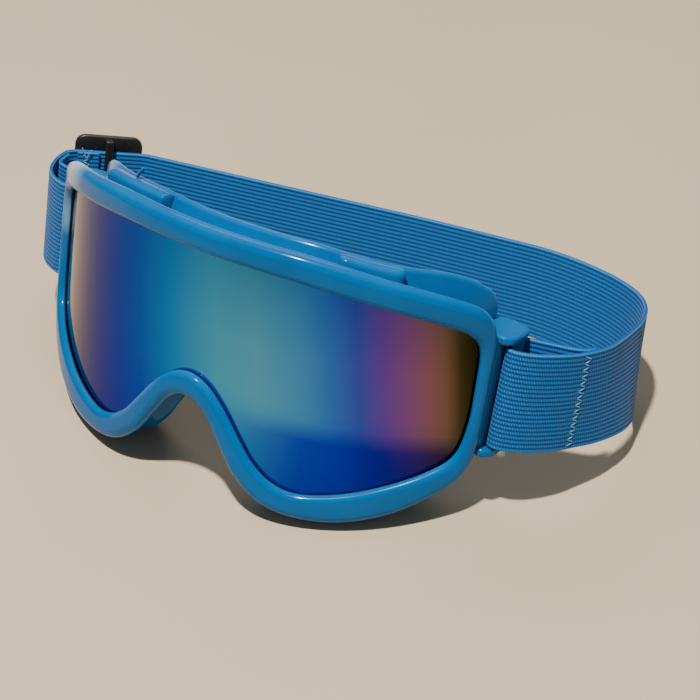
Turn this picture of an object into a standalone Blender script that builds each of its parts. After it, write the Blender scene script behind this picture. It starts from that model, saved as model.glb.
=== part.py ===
"""Ski goggles with a one-piece moulded frame, a cylindrical mirror lens and an elastic strap.

Metres, +Z up. The goggles look along -Y. Right and left are as seen from the front, so right is
+X. Everything hangs on one empty that leans the goggles back, the way they rest on the two cheek
lobes and the strap. Inside that empty the front of the frame is part of a vertical cylinder that
touches y = 0.
"""

import math

import bmesh
import bpy
from mathutils import Vector

MM = 0.001

# Driving dimensions
LEAN_BACK = math.radians(15.9)
FRONT_RADIUS = 121 * MM  # the cylinder that the front of the frame follows
FRAME_DEPTH = 18 * MM  # from the front of the rim to the rear of the face flange
LENS_THICKNESS = 1.4 * MM
LENS_STRIP = 4  # mm of arc between the creases of the lens
STRAP_WIDTH = 38 * MM
STRAP_THICKNESS = 1.3 * MM
STRAP_MIDDLE_Z = 3.3 * MM
FOAM_DEPTH = 9 * MM
FOAM_INSET = 2.4  # mm in from the edge of the face flange
FOAM_TAPER = 2.6  # how much narrower than its front the pad's rear is, mm
FOAM_LIFT = 2  # the most of the flange's lift that the pad follows, mm
GAP = 0.3 * MM  # clearance between two pieces that touch

# Stations of the moulded rim, from the middle of the nose arch round to the middle of the top, in
# mm: the edge of the lens opening (arc, z), the outer edge (arc, z), and how far the face flange
# stands out past the outer edge. Arc is measured round the front cylinder; the other half mirrors.
RIM_STATIONS = (
    (0, -6.9, 0, -16.3, -0.5),
    (7.5, -9.2, 4.5, -17.5, -0.5),
    (15.1, -16.1, 9.2, -21.6, -0.5),
    (22.7, -26.0, 15.6, -31.0, -0.5),
    (28.4, -33.0, 22.2, -39.9, -0.5),
    (35.9, -38.5, 31.8, -47.3, -0.5),
    (45.5, -40.7, 44.5, -50.3, -0.5),
    (60, -38.2, 61.5, -49.3, -0.5),
    (75, -33.1, 79, -43.9, -0.5),
    (90, -26.3, 95, -34.8, -0.5),
    (99, -19.5, 104, -26.3, 0),
    (102, -8, 107.4, -12, 0.5),
    (102, 8, 107.4, 10, 2),
    (101, 20.5, 106.6, 25.5, 8.5),
    (96, 26.6, 101.5, 34.6, 5.1),
    (85, 29.9, 89, 39.2, 3.5),
    (64, 33.7, 66, 43.3, 0.3),
    (40, 36.9, 41, 46.7, -0.5),
    (20, 38.0, 20.5, 47.5, -0.7),
    (0, 38.1, 0, 47.6, -0.7),
)
STEPS_PER_STATION = 3
LEFT_LIFT = 0.3  # share of the flange's lift that the left side has

# Raised blocks in the top channel, against the flange: first and last arc, mm
TOP_BLOCKS = ((-71.5, -28.5), (47, 72))
# Their section: height over the rim's outer edge, share of the flange's lift, and depth, mm
BLOCK_FOOT = -7.2
BLOCK_SECTION = (
    (BLOCK_FOOT, 0, 9), (-0.8, 1, 9), (0.4, 1, 10.2), (0.5, 1, 13.4), (-0.5, 1, 15.4), (BLOCK_FOOT, 0, 15.4),
)
BLOCK_END_DROP = 0.9  # how much lower the block's top is at its two ends
BLOCK_SECTIONS = 7
CHANNEL_FLOOR = 5.6  # below the outer edge, mm, where the rim is wide enough
LEAST_WALL = 3.9  # between the lens opening and the channel floor, mm

# Strap bars at the frame's sides and the lugs that carry them, mm. The bar's middle stands BAR_X
# out from the goggles' middle, and its section is BAR_HALF to each side, with pointed ends.
BAR_X, BAR_FRONT_Y, BAR_REAR_Y, BAR_HALF, BAR_TIP = 96.4, 50.2, 58.8, 0.9, 0.4
LUG_PLAN = (
    (91.4, 45.4), (95, 45.9), (97.2, 48.6), (97.7, 53), (97.5, 58), (96.2, 60.8), (92.8, 62.6),
    (88.5, 63.2), (84.5, 61.6), (81.2, 57), (80.8, 53.4), (81.6, 51.2), (84.3, 48.8), (87.4, 46.4),
)
# The wall that joins the two lugs, between the rim and the strap
WALL_PLAN = (
    (88.6, 46.6), (91.6, 45.8), (92.9, 47.2), (93.1, 49), (93.1, 59), (91.8, 60.6), (90, 60), (90, 50),
)
LUG_HEIGHT = 3
LUG_CLEARANCE = 1  # between lug and strap edge

# Middle line of the strap seen from above, mm
RIGHT_LOOP = (
    (116.9, 73.0), (114.9, 69.3), (111.2, 66.6), (105, 64.3), (97.2, 61.6), (94.6, 60.0), (94.2, 55),
    (94.3, 50.2), (96.2, 48.0), (100, 48.5), (105, 51.6), (110.4, 57.3), (114.9, 63.8), (118.5, 72.3),
)
RIGHT_SIDE = ((118.8, 73.1), (120.2, 79.4), (120.7, 88), (120.7, 97.6))
BACK_CORNER = (
    (120.6, 98.1), (119.8, 110), (116.4, 123), (109, 134.0), (96, 141.9), (80, 145.9), (64, 146.3),
    (46, 142.5), (26, 137.8),
)
STRAIGHT_RUN = ((5.4, 132.4), (-93, 103.5))  # the back of the strap lies straight between these
LEFT_SIDE = ((-117.0, 67.9), (-119.2, 72.6), (-120.5, 77), (-120.4, 80.7))
LEFT_LOOP = (
    (-115.5, 67.2), (-112.6, 64.8), (-106, 63.4), (-97.2, 61.6), (-94.6, 60.0), (-94.2, 55),
    (-94.3, 50.2), (-96.2, 48.0), (-100, 48.6), (-106, 51.7), (-112.4, 57.6), (-117.2, 65.6),
)

# Slider at the left rear corner of the strap, mm. Its three bars cross a strap that runs straight
# through it: the end bars outside the strap and the middle bar inside.
SLIDER_CENTRE = (-110.3, 91.2)
SLIDER_ANGLE = math.radians(43)
SLIDER_LENGTH, SLIDER_HEIGHT, SLIDER_THICKNESS = 27.5, 50, 2.4
SLIDER_WINDOW, SLIDER_WINDOW_HEIGHT, SLIDER_BAR = 18.4, 36, 3.2
SLIDER_STEP, SLIDER_STEP_MIDDLE = 4.2, 21.9  # the middle bar's end steps: height, and from the centre
SLIDER_FACE = 1.0  # from the strap's middle line to the plate on one side and the bar on the other
SLIDER_EDGE = 0.4
BAR_OVERLAP = 0.2  # how far the middle bar's end steps reach past the bar's own faces
CUTTER_REACH = 6

STRAP_IN_SLIDER = (13.8, 5, -5, -13.8)  # along the slider, mm, from its rear end to its front end
TAB_IN_SLIDER = (-11.9, -8, -4.0)  # it stops short of the middle bar, which turns there
TAB_INSET = -1.75  # from the strap's middle line to the end tab's, mm
TAB_SEAM = -9.0  # along the slider, mm

# Thread that sews the strap's two ends down, mm
THREAD_RADIUS = 0.3
SEAM_MARGIN = 1.5
RIGHT_SEAM = (116.9, 68.6)
RIGHT_SEAM_ALONG = math.radians(66.4)
RIGHT_SEAM_HALF_WIDTH, TAB_SEAM_HALF_WIDTH = 1.6, 1.4
SEAM_TURNS = 24


def clear_scene():
    for obj in list(bpy.data.objects):
        bpy.data.objects.remove(obj, do_unlink=True)


def material(name, colour, roughness, metallic=0.0):
    made = bpy.data.materials.new(name)
    made.use_nodes = True
    shader = made.node_tree.nodes["Principled BSDF"]
    shader.inputs["Base Color"].default_value = (*colour, 1)
    shader.inputs["Roughness"].default_value = roughness
    shader.inputs["Metallic"].default_value = metallic
    return made


def add_object(name, mesh, look, parent):
    obj = bpy.data.objects.new(name, mesh)
    mesh.materials.append(look)
    mesh.shade_smooth()
    mesh.set_sharp_from_angle(angle=math.radians(35))
    bpy.context.scene.collection.objects.link(obj)
    obj.parent = parent
    return obj


def mesh_from(name, points, faces):
    shape = bmesh.new()
    corners = [shape.verts.new(point) for point in points]
    for face in faces:
        shape.faces.new([corners[i] for i in face])
    bmesh.ops.recalc_face_normals(shape, faces=shape.faces)
    mesh = bpy.data.meshes.new(name)
    shape.to_mesh(mesh)
    shape.free()
    return mesh


def smooth_path(points, steps, closed=False):
    """Points along a Catmull-Rom curve through the given points, of any number of coordinates."""
    count = len(points)
    if closed:
        near = [[points[(i + k) % count] for k in (-1, 0, 1, 2)] for i in range(count)]
    else:
        ends = [points[0], *points, points[-1]]
        near = [ends[i : i + 4] for i in range(count - 1)]
    path = []
    for four in near:
        for step in range(steps):
            t = step / steps
            weights = (
                -0.5 * t + t * t - 0.5 * t**3,
                1 - 2.5 * t * t + 1.5 * t**3,
                0.5 * t + 2 * t * t - 1.5 * t**3,
                -0.5 * t * t + 0.5 * t**3,
            )
            mixed = [sum(w * value for w, value in zip(weights, values)) for values in zip(*four)]
            path.append(tuple(mixed))
    if not closed:
        path.append(tuple(points[-1]))
    return path


def on_front(arc, z, depth):
    """Metres in the goggles' frame from mm of arc, height and depth behind the front cylinder."""
    angle = arc * MM / FRONT_RADIUS
    radius = FRONT_RADIUS - depth * MM
    return Vector((radius * math.sin(angle), FRONT_RADIUS - radius * math.cos(angle), z * MM))


def rim_loop():
    """The stations all the way round, each (inner edge, outward direction, width, flange lift)."""
    left = [(-a, b, -c, d, min(e, e * LEFT_LIFT)) for a, b, c, d, e in RIM_STATIONS[-2:0:-1]]
    stations = smooth_path([*RIM_STATIONS, *left], STEPS_PER_STATION, True)
    loop = []
    for inner_s, inner_z, outer_s, outer_z, lift in stations:
        inner, outer = Vector((inner_s, inner_z)), Vector((outer_s, outer_z))
        loop.append((inner, (outer - inner).normalized(), (outer - inner).length, lift))
    return loop


def frame_section(width, lift):
    """One section of the frame: (distance out from the lens opening, depth), in mm."""
    floor = max(width - CHANNEL_FLOOR, min(LEAST_WALL, width - 1.2))
    flange = width + lift
    rear = FRAME_DEPTH / MM
    return (
        (0, 2.4), (0, 1.3), (0.6, 0.3), (1.9, -0.5), (width - 3.0, -0.6), (width - 1.2, 0.1),
        (width - 0.3, 1.2), (width, 2.6), (width - 0.3, 4.2), (width - 1.0, 4.9),
        (floor, 5.6), (floor, rear - 4.2), (flange - 0.9, rear - 3.0), (flange, rear - 2.0),
        (flange, rear - 0.8), (flange - 0.8, rear), (-2.5, rear), (-2.8, rear - 1.6),
        (0.4, rear - 4.2), (0.4, 4.9), (2.4, 4.7), (2.4, 2.6),
    )


def ring_mesh(name, rings):
    count, width = len(rings), len(rings[0])
    faces = []
    for i in range(count):
        j = (i + 1) % count
        for k in range(width):
            m = (k + 1) % width
            faces.append((i * width + k, j * width + k, j * width + m, i * width + m))
    return mesh_from(name, [point for ring in rings for point in ring], faces)


def prism(name, plan, low, high):
    """A solid with the given outline seen from above, between two heights, all in mm."""
    count = len(plan)
    points = [(x * MM, y * MM, z * MM) for z in (low, high) for x, y in plan]
    sides = [(i, (i + 1) % count, count + (i + 1) % count, count + i) for i in range(count)]
    ends = [tuple(range(count)), tuple(range(2 * count - 1, count - 1, -1))]
    return mesh_from(name, points, [*ends, *sides])


def ribbon_plan(path, thickness):
    """The outline seen from above of a strap whose middle line is path, in mm."""
    left, right = [], []
    for i, (x, y) in enumerate(path):
        ahead, behind = path[min(i + 1, len(path) - 1)], path[max(i - 1, 0)]
        along = Vector((ahead[0] - behind[0], ahead[1] - behind[1])).normalized()
        side = Vector((-along.y, along.x)) * thickness / 2
        left.append((x + side.x, y + side.y))
        right.append((x - side.x, y - side.y))
    return [*left, *reversed(right)]


def ribbon_mesh(name, path, width=STRAP_WIDTH / MM, thickness=STRAP_THICKNESS / MM):
    """A strap standing on edge along path, as quads across its thickness and one across its width."""
    middle = STRAP_MIDDLE_Z / MM
    plan = ribbon_plan(path, thickness)
    count = len(path)
    points = [(x * MM, y * MM, z * MM) for z in (middle - width / 2, middle + width / 2) for x, y in plan]
    total = len(plan)
    faces = []
    for i in range(count - 1):
        a, b, c, d = i, i + 1, total - 2 - i, total - 1 - i
        faces += [(a, b, c, d), (a + total, d + total, c + total, b + total)]
        faces += [(a, a + total, b + total, b), (c, c + total, d + total, d)]
    faces += [(0, total - 1, 2 * total - 1, total), (count - 1, count - 1 + total, count + total, count)]
    return mesh_from(name, points, faces)


def mirrored(plan):
    return [(-x, y) for x, y in reversed(plan)]


def rounded(obj, width):
    bevel = obj.modifiers.new("rounded_edges", "BEVEL")
    bevel.width = width
    bevel.segments = 2
    bevel.limit_method = "ANGLE"
    bevel.angle_limit = math.radians(50)
    return obj


def helper(name, mesh, parent):
    obj = bpy.data.objects.new(name, mesh)
    bpy.context.scene.collection.objects.link(obj)
    obj.parent = parent
    obj.hide_render = True
    obj.display_type = "WIRE"
    return obj


def join(obj, other):
    union = obj.modifiers.new("join_" + other.name, "BOOLEAN")
    union.operation = "UNION"
    union.object = other


def top_line(loop, arc):
    """Height of the rim's outer edge along the top, and the flange's lift, at this arc, in mm."""
    tops = []
    for inner, out, width, lift in loop:
        outer = inner + out * width
        if inner.y > 0:
            tops.append((outer.x, outer.y, lift))
    before = max((top for top in tops if top[0] <= arc), key=lambda top: top[0])
    after = min((top for top in tops if top[0] > arc), key=lambda top: top[0])
    share = (arc - before[0]) / (after[0] - before[0])
    return [low + (high - low) * share for low, high in zip(before[1:], after[1:])]


def top_block(name, first, last, loop, parent):
    """A raised block in the channel, between two arcs along the top of the frame."""
    points = []
    for i in range(BLOCK_SECTIONS):
        arc = first + (last - first) * i / (BLOCK_SECTIONS - 1)
        edge, lift = top_line(loop, arc)
        drop = BLOCK_END_DROP if i in (0, BLOCK_SECTIONS - 1) else 0
        for height, share, depth in BLOCK_SECTION:
            lowered = 0 if height == BLOCK_FOOT else drop
            points.append(on_front(arc, edge + height + share * lift - lowered, depth))
    sides = len(BLOCK_SECTION)
    faces = [tuple(range(sides)), tuple(sides * (BLOCK_SECTIONS - 1) + k for k in range(sides))]
    for i in range(BLOCK_SECTIONS - 1):
        for k in range(sides):
            a, b = sides * i + k, sides * i + (k + 1) % sides
            faces.append((a, b, b + sides, a + sides))
    return helper(name, mesh_from(name, points, faces), parent)


def bar_plan():
    """Outline of a strap bar seen from above, in mm."""
    front, rear = BAR_FRONT_Y, BAR_REAR_Y
    return [
        (BAR_X - BAR_HALF, front), (BAR_X - BAR_TIP, front - 1), (BAR_X + BAR_TIP, front - 1),
        (BAR_X + BAR_HALF, front), (BAR_X + BAR_HALF, rear), (BAR_X + BAR_TIP, rear + 1),
        (BAR_X - BAR_TIP, rear + 1), (BAR_X - BAR_HALF, rear),
    ]


def frame(parent, look):
    loop = rim_loop()
    rings = []
    for inner, out, width, lift in loop:
        section = frame_section(width, lift)
        rings.append([on_front(*(inner + out * far), depth) for far, depth in section])
    obj = add_object("frame", ring_mesh("frame", rings), look, parent)
    for i, (first, last) in enumerate(TOP_BLOCKS):
        join(obj, top_block(f"block_{i}", first, last, loop, parent))
    high = (STRAP_MIDDLE_Z + STRAP_WIDTH / 2) / MM + LUG_CLEARANCE
    low = (STRAP_MIDDLE_Z - STRAP_WIDTH / 2) / MM - LUG_CLEARANCE
    middle_of_lug = LUG_HEIGHT / 2
    for side, turn in (("right", list), ("left", mirrored)):
        lug, bar, wall = turn(LUG_PLAN), turn(bar_plan()), turn(WALL_PLAN)
        upper = prism("lug", lug, high, high + LUG_HEIGHT)
        lower = prism("lug", lug, low - LUG_HEIGHT, low)
        post = prism("bar", bar, low - middle_of_lug, high + middle_of_lug)
        between = prism("wall", wall, low - middle_of_lug, high + middle_of_lug)
        for name, mesh in (("upper_lug", upper), ("lower_lug", lower), ("bar", post), ("wall", between)):
            join(obj, helper(f"{side}_{name}", mesh, parent))
    return obj


def lens(parent, look):
    """The lens reaches into the groove behind the rim's lip and keeps the groove's clearance."""
    shape = bmesh.new()
    edge = [inner + out * (2.4 - GAP / MM) for inner, out, _, _ in rim_loop()]
    shape.faces.new([shape.verts.new((arc, z, 0)) for arc, z in edge])
    reach = int(max(arc for arc, _ in edge) / LENS_STRIP)
    for i in range(-reach, reach + 1):
        everything = [*shape.verts, *shape.edges, *shape.faces]
        crease = (i * LENS_STRIP, 0, 0)
        bmesh.ops.bisect_plane(shape, geom=everything, plane_co=crease, plane_no=(1, 0, 0))
    grown = bmesh.ops.extrude_face_region(shape, geom=list(shape.faces))["geom"]
    for vertex in grown:
        if isinstance(vertex, bmesh.types.BMVert):
            vertex.co.z = LENS_THICKNESS / MM
    for vertex in shape.verts:
        vertex.co = on_front(vertex.co.x, vertex.co.y, 2.6 + GAP / MM + vertex.co.z)
    bmesh.ops.recalc_face_normals(shape, faces=shape.faces)
    mesh = bpy.data.meshes.new("lens")
    shape.to_mesh(mesh)
    shape.free()
    return add_object("lens", mesh, look, parent)


def face_foam(parent, look):
    rear = FRAME_DEPTH / MM + GAP / MM
    depth = FOAM_DEPTH / MM
    rings = []
    for inner, out, width, lift in rim_loop()[::2]:
        low, high = -2.2, width + min(lift, FOAM_LIFT) - FOAM_INSET
        narrowed = high - FOAM_TAPER
        section = (
            (low, rear), (high, rear), (narrowed, rear + depth - 1.5), (narrowed - 1.5, rear + depth),
            (low + 1.5, rear + depth), (low, rear + depth - 1.5),
        )
        rings.append([on_front(*(inner + out * far), behind) for far, behind in section])
    return add_object("face_foam", ring_mesh("face_foam", rings), look, parent)


def slider_place(along, out=0.0):
    """Plan point, mm, from mm along the slider and mm towards its outer side."""
    x, y = SLIDER_CENTRE
    cosine, sine = math.cos(SLIDER_ANGLE), math.sin(SLIDER_ANGLE)
    return (x + along * cosine - out * sine, y + along * sine + out * cosine)


def slider_block(name, length, height, inner, outer, z=0.0):
    """A block centred along the slider, between two distances from the strap's middle line, in mm."""
    half = length / 2
    plan = [(-half, inner), (half, inner), (half, outer), (-half, outer)]
    return prism(name, plan, z - height / 2, z + height / 2)


def slider(parent, look):
    """A three-bar slide. Its empty stands on the middle of the middle bar, where it turns."""
    pivot = bpy.data.objects.new("slider_pivot", None)
    x, y = SLIDER_CENTRE
    pivot.location = (x * MM, y * MM, STRAP_MIDDLE_Z)
    pivot.rotation_euler.z = SLIDER_ANGLE
    pivot.parent = parent
    bpy.context.scene.collection.objects.link(pivot)
    outer = SLIDER_FACE + SLIDER_THICKNESS
    plate = slider_block("slider", SLIDER_LENGTH, SLIDER_HEIGHT, SLIDER_FACE, outer)
    obj = add_object("slider", plate, look, pivot)
    window = slider_block("window", SLIDER_WINDOW, SLIDER_WINDOW_HEIGHT, -CUTTER_REACH, CUTTER_REACH)
    cut = obj.modifiers.new("window", "BOOLEAN")
    cut.object = helper("slider_window", window, pivot)
    inside = BAR_OVERLAP - outer
    bar = slider_block("bar", SLIDER_BAR, SLIDER_HEIGHT - 2, inside, -SLIDER_FACE)
    join(obj, helper("middle_bar", bar, pivot))
    wide = SLIDER_BAR + BAR_OVERLAP
    for name, z in (("upper_step", SLIDER_STEP_MIDDLE), ("lower_step", -SLIDER_STEP_MIDDLE)):
        step = slider_block(name, wide, SLIDER_STEP, inside, outer - BAR_OVERLAP, z)
        join(obj, helper(name, step, pivot))
    return rounded(obj, SLIDER_EDGE * MM)


def strap_piece(name, path, parent, look, thickness=STRAP_THICKNESS / MM):
    return add_object(name, ribbon_mesh(name, path, thickness=thickness), look, parent)


def straight_run(count=4):
    (x0, y0), (x1, y1) = STRAIGHT_RUN
    shares = [i / (count - 1) for i in range(count)]
    return [(x0 + (x1 - x0) * share, y0 + (y1 - y0) * share) for share in shares]


def strap(parent, look):
    """The elastic strap as a loop round each bar, two sides that stretch, and the run round the back."""
    strap_piece("strap_right_loop", smooth_path(RIGHT_LOOP, 4), parent, look)
    strap_piece("strap_right_side", smooth_path(RIGHT_SIDE, 3), parent, look)
    through = [slider_place(along) for along in STRAP_IN_SLIDER]
    back = [*BACK_CORNER, *straight_run(), *through]
    strap_piece("strap_back_run", smooth_path(back, 4), parent, look)
    two_plies = (2 * STRAP_THICKNESS + GAP) / MM
    strap_piece("strap_left_side", smooth_path(LEFT_SIDE, 3), parent, look, two_plies)
    strap_piece("strap_left_loop", smooth_path(LEFT_LOOP, 4), parent, look)
    tab = [slider_place(along, TAB_INSET) for along in TAB_IN_SLIDER]
    strap_piece("strap_end_tab", tab, parent, look)


def thread(name, centre, angle, half_width, look, parent):
    """A zigzag seam up one face of the strap, around a plan point, in mm and radians."""
    along = (math.cos(angle), math.sin(angle))
    out = (along[1], -along[0])
    lift = (STRAP_THICKNESS / 2 + GAP) / MM + THREAD_RADIUS
    height = STRAP_WIDTH / MM - 2 * SEAM_MARGIN
    curve = bpy.data.curves.new(name, "CURVE")
    curve.dimensions = "3D"
    curve.bevel_depth = THREAD_RADIUS * MM
    curve.bevel_resolution = 1
    curve.use_fill_caps = True
    spline = curve.splines.new("POLY")
    spline.points.add(SEAM_TURNS - 1)
    for i, point in enumerate(spline.points):
        shift = half_width * (-1) ** i
        x, y = (centre[k] + along[k] * shift + out[k] * lift for k in range(2))
        z = STRAP_MIDDLE_Z / MM + height * (i / (SEAM_TURNS - 1) - 0.5)
        point.co = (x * MM, y * MM, z * MM, 1)
    curve.materials.append(look)
    obj = bpy.data.objects.new(name, curve)
    bpy.context.scene.collection.objects.link(obj)
    obj.parent = parent
    return obj


def seams(parent, look):
    thread("right_seam", RIGHT_SEAM, RIGHT_SEAM_ALONG, RIGHT_SEAM_HALF_WIDTH, look, parent)
    tab = slider_place(TAB_SEAM, TAB_INSET)
    thread("end_seam", tab, SLIDER_ANGLE, TAB_SEAM_HALF_WIDTH, look, parent)


def stand_on_origin(leaning):
    """Move everything so that the whole box stands on the origin at the middle of its bottom."""
    bpy.context.view_layer.update()
    graph = bpy.context.evaluated_depsgraph_get()
    corners = []
    for obj in leaning.children_recursive:
        if obj.type != "EMPTY" and not obj.hide_render:
            shape = obj.evaluated_get(graph)
            mesh = shape.to_mesh()
            corners += [obj.matrix_world @ vertex.co for vertex in mesh.vertices]
            shape.to_mesh_clear()
    low = [min(corner[k] for corner in corners) for k in range(3)]
    high = [max(corner[k] for corner in corners) for k in range(3)]
    leaning.location = (-(low[0] + high[0]) / 2, -(low[1] + high[1]) / 2, -low[2])


def main():
    clear_scene()
    leaning = bpy.data.objects.new("leaning", None)
    leaning.rotation_euler.x = -LEAN_BACK
    bpy.context.scene.collection.objects.link(leaning)
    blue = material("blue_moulding", (0.0, 0.16, 0.45), 0.22)
    webbing = material("blue_webbing", (0.01, 0.13, 0.33), 0.8)
    frame(leaning, blue)
    lens(leaning, material("mirror_lens", (0.05, 0.12, 0.5), 0.06, 1.0))
    face_foam(leaning, material("grey_foam", (0.05, 0.05, 0.055), 0.95))
    strap(leaning, webbing)
    slider(leaning, material("black_moulding", (0.015, 0.015, 0.015), 0.4))
    seams(leaning, material("blue_thread", (0.25, 0.5, 0.7), 0.7))
    stand_on_origin(leaning)


main()
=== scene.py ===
"""Ski goggles: the looks. The shapes follow the CAD model's sizes, in one frame leaned back with it."""

import math
import random

import bmesh
import bpy
from mathutils import Euler, Matrix, Vector


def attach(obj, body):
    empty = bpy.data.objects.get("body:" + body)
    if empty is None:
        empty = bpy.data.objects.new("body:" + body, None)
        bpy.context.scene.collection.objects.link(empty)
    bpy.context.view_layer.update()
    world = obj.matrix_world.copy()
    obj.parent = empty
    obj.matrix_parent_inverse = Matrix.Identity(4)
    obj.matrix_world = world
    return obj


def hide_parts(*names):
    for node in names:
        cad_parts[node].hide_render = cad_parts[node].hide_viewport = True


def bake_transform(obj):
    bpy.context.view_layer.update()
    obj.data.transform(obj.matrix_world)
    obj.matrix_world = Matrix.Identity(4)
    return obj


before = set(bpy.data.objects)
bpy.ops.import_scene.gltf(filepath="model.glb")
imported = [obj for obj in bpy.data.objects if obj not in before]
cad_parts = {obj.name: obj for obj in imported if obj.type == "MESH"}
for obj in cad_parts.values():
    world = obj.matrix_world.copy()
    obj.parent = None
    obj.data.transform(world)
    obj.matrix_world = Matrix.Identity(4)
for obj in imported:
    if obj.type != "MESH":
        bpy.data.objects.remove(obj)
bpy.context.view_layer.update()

MM = 0.001
LEAN_BACK = math.radians(15.9)
LEANING = Matrix.Translation((0.00064, -0.06949, 0.05544)) @ Euler((-LEAN_BACK, 0, 0)).to_matrix().to_4x4()

# Frame moulding, mm
FRONT_RADIUS = 121
FRAME_DEPTH = 18
GROOVE_DEPTH = 2.4
CHANNEL_FLOOR = 5.6
LEAST_WALL = 3.9
RIM_STATIONS = (
    (0, -6.9, 0, -16.3, -0.5),
    (7.5, -9.2, 4.5, -17.5, -0.5),
    (15.1, -16.1, 9.2, -21.6, -0.5),
    (22.7, -26.0, 15.6, -31.0, -0.5),
    (28.4, -33.0, 22.2, -39.9, -0.5),
    (35.9, -38.5, 31.8, -47.3, -0.5),
    (45.5, -40.7, 44.5, -50.3, -0.5),
    (60, -38.2, 61.5, -49.3, -0.5),
    (75, -33.1, 79, -43.9, -0.5),
    (90, -26.3, 95, -34.8, -0.5),
    (99, -19.5, 104, -26.3, 0),
    (102, -8, 107.4, -12, 0.5),
    (102, 8, 107.4, 10, 2),
    (101, 20.5, 106.6, 25.5, 8.5),
    (96, 26.6, 101.5, 34.6, 5.1),
    (85, 29.9, 89, 39.2, 3.5),
    (64, 33.7, 66, 43.3, 0.3),
    (40, 36.9, 41, 46.7, -0.5),
    (20, 38.0, 20.5, 47.5, -0.7),
    (0, 38.1, 0, 47.6, -0.7),
)
RIM_STEPS, COARSE_STEPS = 10, 6  # steps between two stations: the moulding and pad, the lens and blocks
LEFT_LIFT = 0.3  # share of the flange's outward lift that the left side has
LENS_GAP, LENS_THICKNESS, LENS_FRONT = 0.3, 1.4, 2.9  # play in the groove, thickness, and depth of the front
TOP_BLOCKS = ((-71.5, -28.5, 1.2), (47, 72, 3.5))  # first and last arc, and how long its rounded ends are
BLOCK_FOOT = -7.2
BLOCK_STEP = 0.5
BLOCK_END_SHARE, BLOCK_END_DROP = 0.3, 0.9  # the depth left at a block's ends, and their drop
BLOCK_SECTION = (
    (BLOCK_FOOT, 9), (-1.2, 9), (-0.2, 9.4), (0.4, 10.4), (0.6, 11.8), (0.5, 13.4), (0.1, 14.6), (-0.5, 15.4),
    (BLOCK_FOOT, 15.4),
)
BAR_X, BAR_FRONT_Y, BAR_REAR_Y, BAR_HALF, BAR_TIP = 96.4, 50.2, 58.8, 0.9, 0.4
LUG_PLAN = (
    (91.4, 45.4), (95, 45.9), (97.2, 48.6), (97.7, 53), (97.5, 58), (96.2, 60.8), (92.8, 62.6),
    (88.5, 63.2), (84.5, 61.6), (81.2, 57), (80.8, 53.4), (81.6, 51.2), (84.3, 48.8), (87.4, 46.4),
)
WALL_PLAN = (
    (88.6, 46.6), (91.6, 45.8), (92.9, 47.2), (93.1, 49), (93.1, 59), (91.8, 60.6), (90, 60), (90, 50),
)
LUG_HEIGHT, LUG_CLEARANCE, BAR_OVERLAP = 3, 1, 1.5  # the bar and the wall run this far into the lugs
PAINTED_GLOW_CORNER, PAINTED_GLOW_SIDE = (-80, 32, 38), (-85, 36, 14)  # the middles of the two patches of painted light, where the moulding is drawn whitish as if light glows through it
STUB = ((-55.5, 45.2, 14.6), (-54.4, 47, 15), (-51.5, 49.6, 15.4))  # a thin nib on the flange, arc, z, depth
STUB_RADIUS = 0.62

# Strap, mm
STRAP_WIDTH, STRAP_THICKNESS, STRAP_MIDDLE_Z = 38, 1.3, 3.3
RIB_PITCH = 38 / 23
RIB_HEIGHT, RIB_POWER, RIB_POINTS = 0.15, 0.7, 6
EDGE_WIDTH, EDGE_THINNESS = 0.4, 0.45  # the strap's edges thin out to this share
BEAD_PITCH, BEAD_PHASE, BEAD_SLANT = 0.9, 2.2, 0.9  # mm, radians from rib to rib, radians per mm across
LEAN_CENTRE, LEAN_REACH, LEAN_OUT = (120.5, 100), 34, 6  # the strap's lower edge swings out at this corner
RIGHT_LOOP = (
    (116.9, 73.0), (114.9, 69.3), (111.2, 66.6), (105, 64.3), (97.2, 61.6), (94.6, 60.0), (94.2, 55),
    (94.3, 50.2), (96.2, 48.0), (100, 48.5), (105, 51.6), (110.4, 57.3), (114.9, 63.8), (118.5, 72.3),
)
RIGHT_SIDE = ((120.2, 79.4), (120.7, 88), (120.6, 98.1))
BACK_CORNER = (
    (119.8, 110), (116.4, 123), (109, 134.0), (96, 141.9), (80, 145.9), (64, 146.3), (46, 142.5), (26, 137.8),
)
STRAIGHT_RUN = ((5.4, 132.4), (-93, 103.5))
LEFT_OUTER = ((-121.2, 78.4), (-120.6, 74.4), (-118.9, 69.4))
LEFT_LOOP = (
    (-117.2, 65.6), (-112.4, 57.6), (-106, 51.7), (-100, 48.6), (-96.2, 48.0), (-94.3, 50.2),
    (-94.2, 55), (-94.6, 60.0), (-97.2, 61.6), (-106, 63.4), (-112.6, 64.8), (-115.7, 67.4),
)
LEFT_INNER = ((-117.6, 71.6), (-118.8, 75.8))

# Slider, mm
SLIDER_CENTRE = (-110.3, 91.2)
SLIDER_ANGLE = math.radians(43)
SLIDER_LENGTH, SLIDER_HEIGHT, SLIDER_THICKNESS = 27.5, 50, 2.4
SLIDER_WINDOW, SLIDER_WINDOW_HEIGHT, SLIDER_BAR = 18.4, 36, 3.2
SLIDER_STEP_LOW, SLIDER_STEP_HIGH = 19.8, 24
SLIDER_FACE, SLIDER_EDGE = 1.0, 0.55
SLIDER_CORNER, SLIDER_WINDOW_CORNER = 4.2, 1.6
TAB_END, TAB_SEAM, TAB_OUT = -12.6, -9.0, -1.75  # along the slider's line, and beside the strap

# Seams, mm
SEAM_TURNS, SEAM_MARGIN = 26, 3  # strokes of the zigzag, and the width of strap that it leaves free
THREAD_RADIUS, THREAD_SINK, THREAD_RISE, THREAD_WANDER = 0.22, 0.12, 0.42, 0.08

# Face pad, mm
FOAM_GAP, FOAM_INNER = 0.3, -2.2
FOAM_DEPTH, FOAM_INSET, FOAM_TAPER, FOAM_LIFT = 9, 2.4, 2.6, 2

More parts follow.
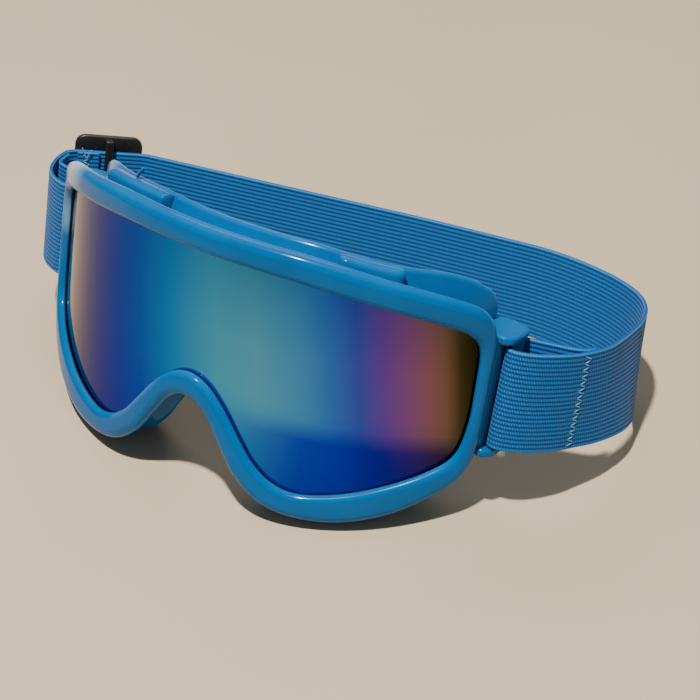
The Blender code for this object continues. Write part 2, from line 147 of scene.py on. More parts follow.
MAP_MM = 100  # mm in one unit of a uv map
LENS_REACH = 104  # arc from the middle of the lens at which its colours end, mm

# Camera, in metres and degrees, round the leaning frame's own origin
CAMERA_AZIMUTH, CAMERA_ELEVATION = math.radians(32), math.radians(38.7)
CAMERA_DISTANCE = 0.548
CAMERA_ACROSS, CAMERA_UP = -0.0553, -0.0019
SENSOR_WIDTH = 36
CAMERA_LENS = SENSOR_WIDTH * 16 / 7
LIGHT_TARGET = (0, 0, 0.03)


# ---------------------------------------------------------------- shapes

def place(x, y, z):
    """World metres from mm in the leaning frame."""
    return LEANING @ Vector((x * MM, y * MM, z * MM))


def on_front(arc, z, depth):
    """World metres from mm of arc, height and depth behind the frame's front cylinder."""
    angle = arc / FRONT_RADIUS
    radius = FRONT_RADIUS - depth
    return place(radius * math.sin(angle), FRONT_RADIUS - radius * math.cos(angle), z)


def smooth_path(points, steps, closed=False):
    """Points along a Catmull-Rom curve through the given points."""
    count = len(points)
    if closed:
        fours = [[points[(i + k) % count] for k in (-1, 0, 1, 2)] for i in range(count)]
    else:
        ends = [points[0], *points, points[-1]]
        fours = [ends[i : i + 4] for i in range(count - 1)]
    path = []
    for four in fours:
        for step in range(steps):
            t = step / steps
            weights = (
                -0.5 * t + t * t - 0.5 * t**3,
                1 - 2.5 * t * t + 1.5 * t**3,
                0.5 * t + 2 * t * t - 1.5 * t**3,
                -0.5 * t * t + 0.5 * t**3,
            )
            path.append(tuple(sum(w * value for w, value in zip(weights, values)) for values in zip(*four)))
    if not closed:
        path.append(tuple(points[-1]))
    return path


def even_path(points, spacing):
    """The same open path in equal steps of about this length."""
    lengths = [0.0]
    for a, b in zip(points, points[1:]):
        lengths.append(lengths[-1] + math.dist(a, b))
    count = max(2, round(lengths[-1] / spacing))
    path, k = [], 0
    for i in range(count + 1):
        goal = lengths[-1] * i / count
        while k < len(lengths) - 2 and lengths[k + 1] < goal:
            k += 1
        share = (goal - lengths[k]) / (lengths[k + 1] - lengths[k])
        path.append(tuple(a + (b - a) * share for a, b in zip(points[k], points[k + 1])))
    return path, lengths[-1]


def rounded_corners(points, radius, steps=3):
    """A polygon with each corner turned into a short curve."""
    count = len(points)
    result = []
    for i in range(count):
        before, here, after = (Vector(points[(i + k) % count]) for k in (-1, 0, 1))
        back, ahead = before - here, after - here
        start = here + back.normalized() * min(radius, back.length * 0.45)
        end = here + ahead.normalized() * min(radius, ahead.length * 0.45)
        for step in range(steps + 1):
            t = step / steps
            result.append(tuple(start * (1 - t) ** 2 + here * 2 * t * (1 - t) + end * t * t))
    return result


def add_object(name, data):
    obj = bpy.data.objects.new(name, data)
    bpy.context.scene.collection.objects.link(obj)
    return obj


def smooth_mesh(name, shape, sharp):
    """A mesh from a bmesh, shaded smooth but for creases sharper than this angle."""
    bmesh.ops.recalc_face_normals(shape, faces=shape.faces)
    mesh = bpy.data.meshes.new(name)
    shape.to_mesh(mesh)
    shape.free()
    mesh.shade_smooth()
    mesh.set_sharp_from_angle(angle=math.radians(sharp))
    return mesh


def add_mesh(name, points, faces, look, body, sharp):
    shape = bmesh.new()
    corners = [shape.verts.new(point) for point in points]
    for face in faces:
        shape.faces.new([corners[i] for i in face])
    mesh = smooth_mesh(name, shape, sharp)
    mesh.materials.append(look)
    obj = add_object(name, mesh)
    if body:
        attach(obj, body)
    return obj


def ring_faces(count, width):
    faces = []
    for i in range(count):
        j = (i + 1) % count
        for k in range(width):
            m = (k + 1) % width
            faces.append((i * width + k, j * width + k, j * width + m, i * width + m))
    return faces


def rim_loop(steps):
    """Sections all the way round the rim: (inner edge, outward direction, width, flange lift)."""
    left = [(-a, b, -c, d, min(e, e * LEFT_LIFT)) for a, b, c, d, e in RIM_STATIONS[-2:0:-1]]
    loop = []
    for inner_s, inner_z, outer_s, outer_z, lift in smooth_path([*RIM_STATIONS, *left], steps, True):
        inner, outer = Vector((inner_s, inner_z)), Vector((outer_s, outer_z))
        loop.append((inner, (outer - inner).normalized(), (outer - inner).length, lift))
    return loop


def smooth_step(t):
    t = min(max(t, 0), 1)
    return t * t * (3 - 2 * t)


def frame_section(width, lift):
    """One section of the frame: (distance out from the lens opening, depth), in mm."""
    floor = max(width - CHANNEL_FLOOR, min(LEAST_WALL, width - 1.2))
    flange = width + lift
    rear = FRAME_DEPTH
    return (
        (0, 2.4), (0, 1.3), (0.6, 0.3), (1.9, -0.5), (width - 3.0, -0.6), (width - 1.2, 0.1),
        (width - 0.3, 1.2), (width, 2.6), (width - 0.3, 4.2), (width - 1.0, 4.9),
        (floor, 5.6), (floor, rear - 4.2), (flange - 0.9, rear - 3.0), (flange, rear - 2.0),
        (flange, rear - 0.8), (flange - 0.8, rear), (-2.5, rear), (-2.8, rear - 1.6),
        (0.4, rear - 4.2), (0.4, 4.9), (2.4, 4.7), (2.4, 2.6),
    )


def build_frame(look):
    rings = []
    for inner, out, width, lift in rim_loop(RIM_STEPS):
        section = rounded_corners(frame_section(width, lift), 0.55)
        rings.append([on_front(*(inner + out * far), depth) for far, depth in section])
    points = [point for ring in rings for point in ring]
    faces = ring_faces(len(rings), len(rings[0]))
    obj = add_mesh("frame_moulding", points, faces, look, "goggles", 50)
    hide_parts("frame")
    for name, (first, last, end) in zip(("left_top_block", "right_top_block"), TOP_BLOCKS):
        build_block(name, first, last, end, look)
    for side, turn in (("right", 1), ("left", -1)):
        build_lugs(side, turn, look)
    stub = thread_curve("moulding_stub", [on_front(*spot) for spot in STUB], STUB_RADIUS, look, "goggles")


def top_line(loop, arc):
    """Height of the rim's outer edge along the top, and the flange's lift, at this arc, in mm."""
    tops = []
    for inner, out, width, lift in loop:
        outer = inner + out * width
        if inner.y > 0:
            tops.append((outer.x, outer.y, lift))
    before = max((top for top in tops if top[0] <= arc), key=lambda top: top[0])
    after = min((top for top in tops if top[0] > arc), key=lambda top: top[0])
    share = (arc - before[0]) / (after[0] - before[0])
    return [low + (high - low) * share for low, high in zip(before[1:], after[1:])]


def build_block(name, first, last, end, look):
    """A raised block against the flange, with a crowned top and rounded ends."""
    loop = rim_loop(COARSE_STEPS)
    count = round((last - first) / BLOCK_STEP)
    middle = (BLOCK_SECTION[0][1] + BLOCK_SECTION[-1][1]) / 2
    points = []
    for i in range(count + 1):
        arc = first + (last - first) * i / count
        edge, lift = top_line(loop, arc)
        inside = min(1, min(arc - first, last - arc) / end)
        round_end = math.sqrt(1 - (1 - inside) ** 2)
        squeeze = BLOCK_END_SHARE + (1 - BLOCK_END_SHARE) * round_end
        for height, depth in BLOCK_SECTION:
            lowered = BLOCK_END_DROP * (1 - round_end) if height > BLOCK_FOOT else 0
            points.append(on_front(arc, edge + height + lift - lowered, middle + (depth - middle) * squeeze))
    sides = len(BLOCK_SECTION)
    faces = [tuple(range(sides)), tuple(sides * count + k for k in range(sides))]
    for i in range(count):
        for k in range(sides):
            a, b = sides * i + k, sides * i + (k + 1) % sides
            faces.append((a, b, b + sides, a + sides))
    obj = add_mesh(name, points, faces, look, "goggles", 60)


def prism_points(plan, low, high):
    return [place(x, y, z) for z in (low, high) for x, y in plan]


def prism_faces(count):
    sides = [(i, (i + 1) % count, count + (i + 1) % count, count + i) for i in range(count)]
    return [tuple(range(count)), tuple(range(2 * count - 1, count - 1, -1)), *sides]


def add_bevel(obj, width):
    bevel = obj.modifiers.new("rounded_edges", "BEVEL")
    bevel.width = width * MM
    bevel.segments = 3
    bevel.limit_method = "ANGLE"
    bevel.angle_limit = math.radians(40)


def build_lugs(side, turn, look):
    high = STRAP_MIDDLE_Z + STRAP_WIDTH / 2 + LUG_CLEARANCE
    low = STRAP_MIDDLE_Z - STRAP_WIDTH / 2 - LUG_CLEARANCE
    lug = [(turn * x, y) for x, y in smooth_path(LUG_PLAN, 4, True)]
    wall = [(turn * x, y) for x, y in WALL_PLAN]
    bar_plan = (
        (-BAR_HALF, BAR_FRONT_Y), (-BAR_TIP, BAR_FRONT_Y - 1),
        (BAR_TIP, BAR_FRONT_Y - 1), (BAR_HALF, BAR_FRONT_Y),
        (BAR_HALF, BAR_REAR_Y), (BAR_TIP, BAR_REAR_Y + 1),
        (-BAR_TIP, BAR_REAR_Y + 1), (-BAR_HALF, BAR_REAR_Y),
    )
    bar = [(turn * (BAR_X + x), y) for x, y in bar_plan]
    shapes = (
        (f"{side}_upper_lug", lug, high, high + LUG_HEIGHT, 0.9),
        (f"{side}_lower_lug", lug, low - LUG_HEIGHT, low, 0.9),
        (f"{side}_side_wall", wall, low - BAR_OVERLAP, high + BAR_OVERLAP, 0.4),
        (f"{side}_strap_bar", bar, low - BAR_OVERLAP, high + BAR_OVERLAP, 0.3),
    )
    for name, plan, bottom, top, edge in shapes:
        obj = add_mesh(name, prism_points(plan, bottom, top), prism_faces(len(plan)), look, "goggles", 40)
        add_bevel(obj, edge)


def build_lens(front, rear):
    """The lens reaches into the groove behind the rim's lip, bent to the frame's front cylinder."""
    shape = bmesh.new()
    uv = shape.loops.layers.uv.new("lens_map")
    edge = [inner + out * (GROOVE_DEPTH - LENS_GAP) for inner, out, _, _ in rim_loop(COARSE_STEPS)]
    shape.faces.new([shape.verts.new((arc, z, 0)) for arc, z in edge])
    strip = 1.5
    reach = int(max(arc for arc, _ in edge) / strip)
    for i in range(-reach, reach + 1):
        everything = [*shape.verts, *shape.edges, *shape.faces]
        bmesh.ops.bisect_plane(shape, geom=everything, plane_co=(i * strip, 0, 0), plane_no=(1, 0, 0))
    grown = bmesh.ops.extrude_face_region(shape, geom=list(shape.faces))["geom"]
    for vertex in grown:
        if isinstance(vertex, bmesh.types.BMVert):
            vertex.co.z = LENS_THICKNESS
    for face in shape.faces:
        face.material_index = 1 if min(vertex.co.z for vertex in face.verts) > LENS_THICKNESS / 2 else 0
        for corner in face.loops:
            corner[uv].uv = (corner.vert.co.x / MAP_MM, corner.vert.co.y / MAP_MM)
    for vertex in shape.verts:
        vertex.co = on_front(vertex.co.x, vertex.co.y, LENS_FRONT + vertex.co.z)
    mesh = smooth_mesh("mirror_lens", shape, 40)
    mesh.materials.append(front)
    mesh.materials.append(rear)
    obj = add_object("mirror_lens", mesh)
    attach(obj, "goggles")
    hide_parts("lens")


def slider_place(along, out=0.0):
    x, y = SLIDER_CENTRE
    cosine, sine = math.cos(SLIDER_ANGLE), math.sin(SLIDER_ANGLE)
    return (x + along * cosine - out * sine, y + along * sine + out * cosine)


def ribbon_outline():
    """The strap's section: (across its width, through its thickness) in mm, ribbed on both faces."""
    half = STRAP_WIDTH / 2
    count = round(STRAP_WIDTH / RIB_PITCH) * RIB_POINTS
    face = []
    for i in range(count + 1):
        across = -half + STRAP_WIDTH * i / count
        rib = abs(math.sin(math.pi * (across + half) / RIB_PITCH))
        thick = STRAP_THICKNESS / 2 - RIB_HEIGHT + RIB_HEIGHT * rib**RIB_POWER
        edge = min(1, (half - abs(across)) / EDGE_WIDTH)
        face.append((across, thick * (EDGE_THINNESS + (1 - EDGE_THINNESS) * edge)))
    return [*face, *[(across, -thick) for across, thick in reversed(face)]]


def lean_out(x, y):
    """How far the strap's lower edge swings out at this plan point, mm."""
    return LEAN_OUT * (1 - smooth_step(math.dist((x, y), LEAN_CENTRE) / LEAN_REACH))


def build_ribbon(name, plan, look, spacing=0.9):
    """A ribbed strap on edge along a plan path, with its length and width in mm in the map."""
    path, length = even_path(plan, spacing)
    outline = ribbon_outline()
    count, width = len(path), len(outline)
    points, maps = [], []
    for i, (x, y) in enumerate(path):
        ahead, behind = path[min(i + 1, count - 1)], path[max(i - 1, 0)]
        along = Vector((ahead[0] - behind[0], ahead[1] - behind[1])).normalized()
        side = Vector((-along.y, along.x))
        lean = lean_out(x, y)
        for across, thick in outline:
            off = thick - lean * (0.5 - across / STRAP_WIDTH)
            points.append(place(x + side.x * off, y + side.y * off, STRAP_MIDDLE_Z + across))
            maps.append((length * i / (count - 1), across))
    faces = []
    for i in range(count - 1):
        for k in range(width):
            m = (k + 1) % width
            faces.append((i * width + k, (i + 1) * width + k, (i + 1) * width + m, i * width + m))
    faces += [tuple(range(width)), tuple((count - 1) * width + k for k in range(width))]
    obj = add_mesh(name, points, faces, look, None, 80)
    uv = obj.data.uv_layers.new(name="weave_map")
    for loop in obj.data.loops:
        u, v = maps[loop.vertex_index]
        uv.data[loop.index].uv = (u / MAP_MM, v / MAP_MM)
    return obj


def build_strap(look):
    (x0, y0), (x1, y1) = STRAIGHT_RUN
    run = [(x0 + (x1 - x0) * i / 3, y0 + (y1 - y0) * i / 3) for i in range(4)]
    through = [slider_place(along) for along in (13.8, 5, -5, -12.5)]
    plan = [*RIGHT_LOOP, *RIGHT_SIDE, *BACK_CORNER, *run, *through, *LEFT_OUTER, *LEFT_LOOP, *LEFT_INNER]
    strap = build_ribbon("strap_webbing", smooth_path(plan, 10), look)
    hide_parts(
        "strap_right_loop", "strap_right_side", "strap_back_run", "strap_left_side", "strap_left_loop",
    )
    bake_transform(strap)
    ends = [slider_place(along, TAB_OUT) for along in (TAB_END, -8, -4)]
    tab = build_ribbon("strap_end_tab_webbing", smooth_path(ends, 8), look, 0.7)
    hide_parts("strap_end_tab")
    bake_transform(tab)


def rounded_box_loop(length, height, radius, steps=6, straight=6):
    """Points round a rectangle with round corners, the same count whatever its size."""
    signs = ((1, 1), (-1, 1), (-1, -1), (1, -1))
    centres = [Vector((sx * (length / 2 - radius), sy * (height / 2 - radius))) for sx, sy in signs]

    def on_corner(k, turn):
        return centres[k % 4] + Vector((math.cos(turn), math.sin(turn))) * radius

    points = []
    for k in range(4):
        angle = math.pi / 2 * k
        points += [on_corner(k, angle + math.pi / 2 * step / steps) for step in range(steps + 1)]
        start, end = points[-1], on_corner(k + 1, angle + math.pi / 2)
        points += [start.lerp(end, step / straight) for step in range(1, straight)]
    return points


def build_slider(look):
    outer = rounded_box_loop(SLIDER_LENGTH, SLIDER_HEIGHT, SLIDER_CORNER)
    inner = rounded_box_loop(SLIDER_WINDOW, SLIDER_WINDOW_HEIGHT, SLIDER_WINDOW_CORNER)
    low, high, edge = SLIDER_FACE, SLIDER_FACE + SLIDER_THICKNESS, SLIDER_EDGE
    profile = (
        (0, 0, low + edge), (0.3, 0, low + 0.15), (edge, 0, low), (-edge, 1, low), (-0.3, 1, low + 0.15),
        (0, 1, low + edge), (0, 1, high - edge), (-0.3, 1, high - 0.15), (-edge, 1, high), (edge, 0, high),
        (0.3, 0, high - 0.15), (0, 0, high - edge),
    )
    points = []
    for a, b in zip(inner, outer):
        across = (b - a).normalized()
        for shift, on_outer, out in profile:
            spot = (b if on_outer else a) + across * shift
            points.append(place(*slider_place(spot.x, out), STRAP_MIDDLE_Z + spot.y))
    faces = ring_faces(len(outer), len(profile))
    obj = add_mesh("slide_buckle_plate", points, faces, look, "slide_buckle", 50)
    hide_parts("slider")
    half, reach = SLIDER_STEP_LOW, SLIDER_STEP_HIGH
    plan = (
        (-3.2, -reach), (3.2, -reach), (3.2, -half), (-1, -half), (-1, half), (3.2, half), (3.2, reach),
        (-3.2, reach),
    )
    points = []
    for along in (-SLIDER_BAR / 2, SLIDER_BAR / 2):
        points += [place(*slider_place(along, out), STRAP_MIDDLE_Z + z) for out, z in plan]
    bar = add_mesh("slide_buckle_bar", points, prism_faces(len(plan)), look, "slide_buckle", 40)
    add_bevel(bar, 0.5)


def build_foam(look):
    """The pad's section is crowned at the face and pulls in a little at its middle."""
    rear = FRAME_DEPTH + FOAM_GAP
    rings = []
    for inner, out, width, lift in rim_loop(RIM_STEPS):
        low, high = FOAM_INNER, width + min(lift, FOAM_LIFT) - FOAM_INSET
        narrowed = high - FOAM_TAPER
        face, middle = rear + FOAM_DEPTH, rear + FOAM_DEPTH / 2
        corners = (
            (low, rear), (high, rear), ((high + narrowed) / 2 - 0.4, middle), (narrowed, face - 1.2),
            (narrowed - 1.4, face), ((low + narrowed) / 2, face + 0.25),
            (low + 1.4, face), (low, face - 1.2), (low + 0.35, middle),
        )
        rings.append([on_front(*(inner + out * far), depth) for far, depth in rounded_corners(corners, 1.1)])
    points = [point for ring in rings for point in ring]
    obj = add_mesh("face_pad", points, ring_faces(len(rings), len(rings[0])), look, "goggles", 60)
    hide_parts("face_foam")


def build_seam(name, centre, angle, half_width, node, body, look):
    """A zigzag of sewing thread that rises between the stitches and sinks in at each end."""
    draws = random.Random(5)
    along = (math.cos(angle), math.sin(angle))
    out = (along[1], -along[0])
    height = STRAP_WIDTH - SEAM_MARGIN
    points = []
    for i in range(SEAM_TURNS * 4 + 1):
        t = i / 4
        whole = int(t)
        share = t - whole
        a = half_width * (1 if whole % 2 else -1)
        shift = a * (1 - 2 * share) + draws.uniform(-THREAD_WANDER, THREAD_WANDER)
        rise = STRAP_THICKNESS / 2 - THREAD_SINK + THREAD_RISE * math.sin(math.pi * share)
        x = centre[0] + along[0] * shift + out[0] * rise
        y = centre[1] + along[1] * shift + out[1] * rise
        points.append(place(x, y, STRAP_MIDDLE_Z + height * (t / SEAM_TURNS - 0.5)))
    obj = thread_curve(name, points, THREAD_RADIUS, look, body)
    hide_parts(node)


def build_loose_ends(look):
    """Two ends of the seam's thread that stand up from the top of the tab."""
    top = STRAP_MIDDLE_Z + STRAP_WIDTH / 2
    for k, (lean, reach) in enumerate(((-2.2, 3.0), (1.8, 2.2))):
        shifts = ((0, -2.2, -5), (lean * 0.3, -3.2, -1.5), (lean, -3.6, reach - 1))
        path = smooth_path([(TAB_SEAM + shift, out, rise) for shift, out, rise in shifts], 5)
        points = [place(*slider_place(along, out), top + rise) for along, out, rise in path]
        obj = thread_curve(f"loose_thread_{k}", points, THREAD_RADIUS, look, "strap_end")


def thread_curve(name, points, radius, look, body):
    curve = bpy.data.curves.new(name, "CURVE")
    curve.dimensions = "3D"
    curve.bevel_depth = radius * MM
    curve.bevel_resolution = 2
    curve.use_fill_caps = True
    spline = curve.splines.new("POLY")
    spline.points.add(len(points) - 1)
    for point, spot in zip(spline.points, points):
        point.co = (*spot, 1)
    curve.materials.append(look)
    obj = add_object(name, curve)
    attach(obj, body)
    return obj


# ---------------------------------------------------------------- materials

class Nodes:
    """Short calls for a material's node tree."""

    def __init__(self, name):
        self.material = bpy.data.materials.new(name)
        self.material.use_nodes = True
        self.tree = self.material.node_tree
        self.shader = self.tree.nodes["Principled BSDF"]

    def add(self, kind, **settings):
        node = self.tree.nodes.new(kind)
        for key, value in settings.items():
            setattr(node, key, value)
        return node

    def link(self, source, target):
        self.tree.links.new(source, target)

    def set(self, **values):
        for key, value in values.items():
            self.shader.inputs[key.replace("_", " ")].default_value = value

    def coords(self, uv=None):
        if uv:
            return self.add("ShaderNodeUVMap", uv_map=uv).outputs["UV"]
        return self.add("ShaderNodeTexCoord").outputs["Object"]

    def noise(self, scale, detail=3.0, vector=None):
        node = self.add("ShaderNodeTexNoise")
        node.inputs["Scale"].default_value = scale
        node.inputs["Detail"].default_value = detail
        self.link(vector or self.coords(), node.inputs["Vector"])
        return node.outputs["Fac"]

    def ramp(self, factor, stops):
        node = self.add("ShaderNodeValToRGB")
        elements = node.color_ramp.elements
        while len(elements) < len(stops):
            elements.new(0.5)
        for element, (position, colour) in zip(elements, stops):
            element.position = position
            element.color = (*colour, 1)
        self.link(factor, node.inputs["Fac"])
        return node.outputs["Color"]

    def grey(self, factor, low, high):
        """A map from 0..1, and no further, to low..high."""
        node = self.add("ShaderNodeMapRange")
        node.inputs["To Min"].default_value = low
        node.inputs["To Max"].default_value = high
        self.link(factor, node.inputs["Value"])
        return node.outputs["Result"]

    def maths(self, operation, *values):
        node = self.add("ShaderNodeMath", operation=operation)
        for socket, value in zip(node.inputs, values):
            if isinstance(value, (int, float)):
                socket.default_value = value
            else:
                self.link(value, socket)
        return node.outputs[0]

    def mix(self, factor, first, second, blend_type="MIX"):
        """A mix of two colours. Each of the three is a socket to link or a constant."""
        node = self.add("ShaderNodeMix", data_type="RGBA", blend_type=blend_type)
        for number, value in zip((0, 6, 7), (factor, first, second)):
            if isinstance(value, bpy.types.NodeSocket):
                self.link(value, node.inputs[number])
            else:
                node.inputs[number].default_value = value
        return node.outputs[2]

    def bump(self, height, distance, strength):
        node = self.add("ShaderNodeBump")
        node.inputs["Distance"].default_value = distance
        node.inputs["Strength"].default_value = strength
        self.link(height, node.inputs["Height"])
        self.link(node.outputs["Normal"], self.shader.inputs["Normal"])


def near(made, spot, reach):
    """1 at a point of the leaning frame, falling to 0 at this distance from it, in mm."""
    away = made.add("ShaderNodeVectorMath", operation="DISTANCE")
    made.link(made.coords(), away.inputs[0])
    away.inputs[1].default_value = place(*spot)
    share = made.maths("DIVIDE", away.outputs["Value"], reach * MM)
    return made.maths("MAXIMUM", made.maths("SUBTRACT", 1.0, share), 0.0)


def moulding_look():
    """Glossy blue plastic, a little cloudy, with two patches of painted light at the left, drawn whitish
    where light glows through the moulding.
    """
    made = Nodes("blue_moulding")
    blue = made.ramp(made.noise(35), ((0.3, (0.0, 0.1, 0.31)), (0.7, (0.0, 0.125, 0.37))))
    # Painted light: two whitish patches, broken up by noise, where light glows through the moulding.
    corner = made.maths("MAXIMUM", near(made, PAINTED_GLOW_CORNER, 18), near(made, PAINTED_GLOW_SIDE, 12))
    painted_glow = made.maths("MULTIPLY", corner, made.grey(made.noise(90, 2), 0.5, 1.2))
    made.link(made.mix(painted_glow, blue, (0.42, 0.6, 0.75, 1)), made.shader.inputs["Base Color"])
    made.link(made.grey(made.noise(220, 4), 0.1, 0.18), made.shader.inputs["Roughness"])
    made.set(IOR=1.4, Specular_IOR_Level=0.22, Coat_Weight=0.06, Coat_Roughness=0.05)
    made.set(Subsurface_Weight=0.25, Subsurface_Scale=0.003)
    made.shader.inputs["Subsurface Radius"].default_value = (0.2, 0.7, 1.0)
    made.bump(made.noise(60, 1), 0.00012, 0.5)
    return made.material


LENS_STOPS = (  # arc in mm, and the colour there: the coating's tint and painted reflection together
    (-104, (0.42, 0.38, 0.3)), (-97, (0.28, 0.18, 0.1)), (-88, (0.17, 0.08, 0.06)),
    (-81, (0.09, 0.02, 0.08)), (-73, (0.04, 0.004, 0.12)), (-64, (0.008, 0.002, 0.18)),
    (-54, (0.0, 0.003, 0.25)), (-42, (0.0, 0.018, 0.36)), (-26, (0.0, 0.07, 0.48)),
    (-8, (0.01, 0.2, 0.62)), (10, (0.05, 0.32, 0.62)), (26, (0.07, 0.32, 0.6)),
    (42, (0.05, 0.24, 0.62)), (54, (0.03, 0.13, 0.6)), (63, (0.04, 0.06, 0.47)),
    (72, (0.11, 0.045, 0.36)), (80, (0.17, 0.06, 0.24)), (88, (0.19, 0.08, 0.12)),
    (94, (0.14, 0.08, 0.06)), (99, (0.04, 0.036, 0.014)), (104, (0.015, 0.014, 0.005)),
)


def lens_front_look():
    """Bands of colour round the lens, darker and bluer low down: painted reflection in place of what the
    mirror reflects, over the coating's tint.
    """
    made = Nodes("mirror_coating_painted_reflection")
    split = made.add("ShaderNodeSeparateXYZ")
    made.link(made.coords("lens_map"), split.inputs[0])
    across, up = split.outputs["X"], split.outputs["Y"]
    wander = made.maths("MULTIPLY", made.maths("SUBTRACT", made.noise(9, 2), 0.5), 0.03)
    slant = made.maths("MULTIPLY", up, 0.1)
    arc = made.maths("ADD", made.maths("MULTIPLY", across, MAP_MM / (2 * LENS_REACH)), 0.5)
    spot = made.maths("ADD", made.maths("ADD", arc, wander), slant)
    stops = [((arc_mm + LENS_REACH) / (2 * LENS_REACH), colour) for arc_mm, colour in LENS_STOPS]
    # Painted reflection of the floor: palest from a little below to a little above the middle, darker and
    # bluer towards the bottom, a little darker at the top.
    painted_reflection_band = made.ramp(made.maths("ADD", up, 0.5), (
        (0.08, (0.25, 0.5, 0.9)), (0.24, (0.4, 0.7, 1)), (0.42, (0.95, 1, 1)), (0.6, (1, 1, 1)),
        (0.88, (0.6, 0.8, 0.95)),
    ))
    tint_and_painted_reflection = made.mix(1, made.ramp(spot, stops), painted_reflection_band, "MULTIPLY")
    # Painted reflection of shadow, darkest low down at the right: it fades in from 13 to 20 mm below the
    # middle and from 12 to 45 mm right of it.
    low = made.grey(made.maths("MULTIPLY", made.maths("ADD", up, 0.13), -14.0), 0, 1)
    right = made.grey(made.maths("MULTIPLY", made.maths("SUBTRACT", across, 0.12), 3.0), 0, 1)
    painted_shadow_reflection = made.maths("MULTIPLY", low, right)
    made.link(made.mix(painted_shadow_reflection, tint_and_painted_reflection, (0.25, 0.22, 0.8, 1), "MULTIPLY"), made.shader.inputs["Base Color"])
    made.set(Metallic=1.0)
    made.link(made.grey(made.noise(120, 3), 0.03, 0.07), made.shader.inputs["Roughness"])
    return made.material


def lens_rear_look():
    made = Nodes("smoked_lens_inside")
    smoke = made.ramp(made.noise(12), ((0.3, (0.018, 0.018, 0.024)), (0.7, (0.03, 0.028, 0.04))))
    made.link(smoke, made.shader.inputs["Base Color"])
    made.link(made.grey(made.noise(90, 3), 0.05, 0.1), made.shader.inputs["Roughness"])
    return made.material


def webbing_look():
    """Ribbed elastic, coloured by the height of its surface: painted shade darkens the grooves between the
    ribs and painted highlight lightens the beads of yarn along each rib.
    """
    made = Nodes("ribbed_elastic")
    split = made.add("ShaderNodeSeparateXYZ")
    made.link(made.coords("weave_map"), split.inputs[0])
    along = made.maths("MULTIPLY", split.outputs["X"], MAP_MM)
    across = made.maths("ADD", made.maths("MULTIPLY", split.outputs["Y"], MAP_MM), STRAP_WIDTH / 2)
    rib_number = made.maths("FLOOR", made.maths("DIVIDE", across, RIB_PITCH))
    rib = made.maths("ABSOLUTE", made.maths("SINE", made.maths("MULTIPLY", across, math.pi / RIB_PITCH)))
    phase = made.maths("MULTIPLY", rib_number, BEAD_PHASE)
    slant = made.maths("MULTIPLY", across, BEAD_SLANT)
    steady = made.maths("MULTIPLY", along, 2 * math.pi / BEAD_PITCH)
    turn = made.maths("ADD", steady, made.maths("ADD", phase, slant))
    bead = made.grey(made.maths("SINE", turn), 0.65, 1.0)
    height = made.maths("MULTIPLY", made.maths("POWER", rib, RIB_POWER), bead)
    fuzz = made.maths("MULTIPLY", made.maths("SUBTRACT", made.noise(2600, 3), 0.5), 0.6)
    off_middle = made.maths("ABSOLUTE", made.maths("SUBTRACT", across, STRAP_WIDTH / 2))
    edge = made.maths("MULTIPLY", made.maths("GREATER_THAN", off_middle, STRAP_WIDTH / 2 - 0.7), 0.3)
    painted_shade_height = made.maths("ADD", made.maths("ADD", height, fuzz), edge)
    # Painted shade and highlight: the colour follows the surface's height, dark in the grooves and light on
    # the beads.
    colour = made.ramp(painted_shade_height, (
        (0.0, (0.0, 0.035, 0.15)), (0.35, (0.0, 0.06, 0.25)),
        (0.7, (0.0, 0.11, 0.39)), (0.95, (0.02, 0.25, 0.62)),
    ))
    made.link(colour, made.shader.inputs["Base Color"])
    made.set(Roughness=0.7, Sheen_Weight=0.08, Sheen_Roughness=0.4, Specular_IOR_Level=0.25)
    made.bump(height, 0.0003, 0.7)
    return made.material


def buckle_look():
    made = Nodes("black_satin_moulding")
    grain = made.noise(900, 4)
    black = made.ramp(grain, ((0.3, (0.008, 0.008, 0.008)), (0.7, (0.016, 0.015, 0.014))))
    made.link(black, made.shader.inputs["Base Color"])
    made.link(made.grey(grain, 0.3, 0.45), made.shader.inputs["Roughness"])
    made.bump(grain, 0.00005, 0.5)
    return made.material


def foam_look():
    made = Nodes("dark_foam")
    cells = made.add("ShaderNodeTexVoronoi")
    cells.inputs["Scale"].default_value = 900
    made.link(made.coords(), cells.inputs["Vector"])
    dark = made.ramp(cells.outputs["Distance"], ((0.0, (0.008, 0.008, 0.009)), (0.7, (0.045, 0.045, 0.05))))
    made.link(dark, made.shader.inputs["Base Color"])
    made.set(Roughness=0.95)
    made.bump(cells.outputs["Distance"], 0.0005, 0.8)
    return made.material


def thread_look():
    made = Nodes("pale_blue_thread")
    twist = made.add("ShaderNodeTexWave", wave_type="BANDS", bands_direction="DIAGONAL")
    twist.inputs["Scale"].default_value = 700
    made.link(made.coords(), twist.inputs["Vector"])
    pale = made.ramp(twist.outputs["Fac"], ((0.2, (0.03, 0.2, 0.42)), (0.8, (0.14, 0.42, 0.66))))
    made.link(pale, made.shader.inputs["Base Color"])
    made.set(Roughness=0.6, Sheen_Weight=0.3)
    return made.material


# ---------------------------------------------------------------- studio

def build_floor():
    shape = bmesh.new()
    bmesh.ops.create_grid(shape, x_segments=1, y_segments=1, size=3)
    mesh = bpy.data.meshes.new("floor")
    shape.to_mesh(mesh)
    shape.free()
    made = Nodes("pale_paper")
    paper = made.ramp(made.noise(3, 2), ((0.3, (0.53, 0.425, 0.29)), (0.7, (0.57, 0.46, 0.32))))
    made.link(paper, made.shader.inputs["Base Color"])
    made.set(Roughness=0.8)
    made.bump(made.noise(700, 4), 0.00008, 0.3)
    mesh.materials.append(made.material)
    obj = add_object("floor", mesh)


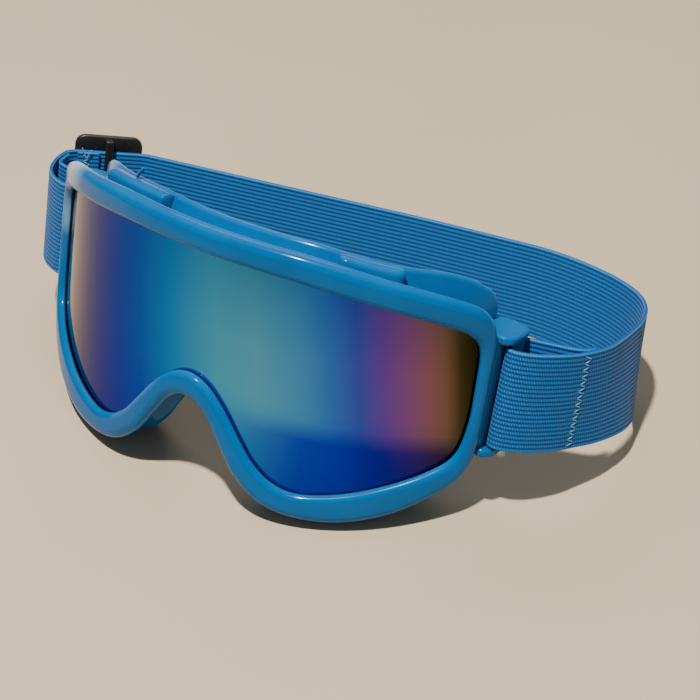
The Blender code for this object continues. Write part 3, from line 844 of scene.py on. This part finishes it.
def add_area(name, spot, size, power, colour):
    """A round lamp that faces the goggles."""
    light = bpy.data.lights.new(name, "AREA")
    light.shape = "DISK"
    light.size = size
    light.energy = power
    light.color = colour
    obj = add_object(name, light)
    obj.location = spot
    obj.rotation_euler = (Vector(LIGHT_TARGET) - Vector(spot)).to_track_quat("-Z", "Y").to_euler()


def build_lights():
    world = bpy.data.worlds.new("studio")
    bpy.context.scene.world = world
    world.use_nodes = True
    sky = world.node_tree.nodes["Background"]
    sky.inputs["Color"].default_value = (0.85, 0.92, 1, 1)
    sky.inputs["Strength"].default_value = 0.2
    add_area("key", (0.01, -0.33, 1.4), 0.07, 36, (1, 0.95, 0.86))
    add_area("soft", (-0.5, 0.9, 1.1), 0.9, 5, (0.98, 0.98, 1))


def build_camera():
    forward = Vector((
        -math.sin(CAMERA_AZIMUTH) * math.cos(CAMERA_ELEVATION),
        math.cos(CAMERA_AZIMUTH) * math.cos(CAMERA_ELEVATION),
        -math.sin(CAMERA_ELEVATION),
    ))
    right = Vector((math.cos(CAMERA_AZIMUTH), math.sin(CAMERA_AZIMUTH), 0))
    up = right.cross(forward)
    camera = bpy.data.cameras.new("camera")
    camera.lens = CAMERA_LENS
    camera.sensor_width = SENSOR_WIDTH
    camera.clip_start = 0.01
    obj = add_object("camera", camera)
    obj.location = LEANING.translation - CAMERA_ACROSS * right - CAMERA_UP * up - CAMERA_DISTANCE * forward
    obj.rotation_euler = forward.to_track_quat("-Z", "Y").to_euler()
    bpy.context.scene.camera = obj


def main():
    thread = thread_look()
    build_frame(moulding_look())
    build_lens(lens_front_look(), lens_rear_look())
    build_foam(foam_look())
    build_strap(webbing_look())
    build_slider(buckle_look())
    right_seam, end_seam = (116.6, 67.9), slider_place(TAB_SEAM, -1.8)
    build_seam("right_seam_thread", right_seam, math.radians(66.4), 1.6, "right_seam", "goggles", thread)
    build_seam("end_seam_thread", end_seam, SLIDER_ANGLE, 1.4, "end_seam", "strap_end", thread)
    build_loose_ends(thread)
    build_floor()
    build_lights()
    build_camera()


main()
